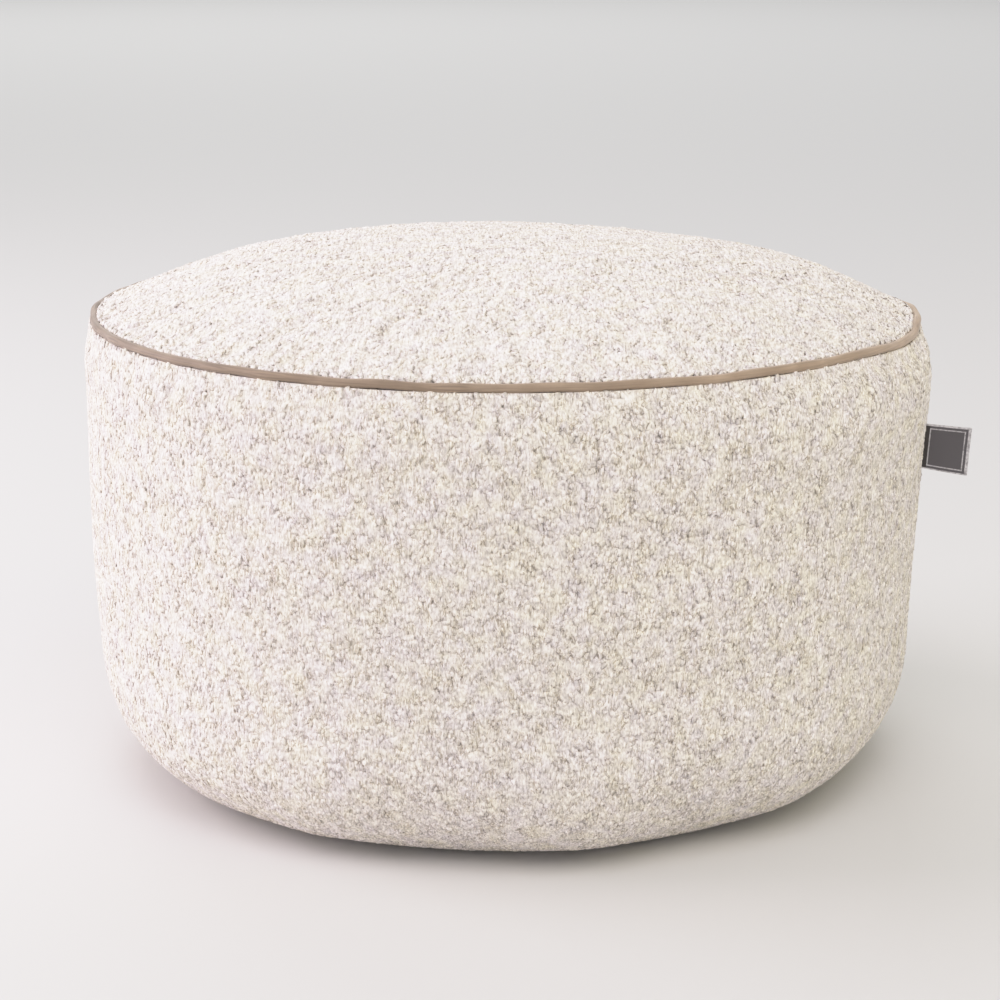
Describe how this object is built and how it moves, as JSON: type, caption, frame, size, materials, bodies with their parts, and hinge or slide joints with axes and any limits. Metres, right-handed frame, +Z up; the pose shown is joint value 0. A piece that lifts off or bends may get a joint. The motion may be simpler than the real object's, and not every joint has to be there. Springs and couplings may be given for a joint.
{
  "type": "bean bag footstool",
  "caption": "Round drum footstool filled with beads: crowned top, piped top seam, straight side with a rounded bottom edge, flat base and a small side label.",
  "frame": {"origin": "middle of the base panel's underside, on the floor", "axes": "+Z up through the middle of the crowned top, +X towards the side label, which stands 11 degrees towards -Y from it"},
  "size_m": [0.521, 0.5002, 0.3154],
  "materials": {
    "boucle": "cream looped pile, matt",
    "base_cloth": "plain woven cotton, matt",
    "piping": "smooth taupe cloth, soft sheen",
    "label": "dark grey satin weave with light edges"
  },
  "bodies": {
    "root": {"top_panel": "boucle", "side_band": "boucle", "base_panel": "base_cloth", "top_piping": "piping", "side_label": "label"}
  },
  "joints": []
}
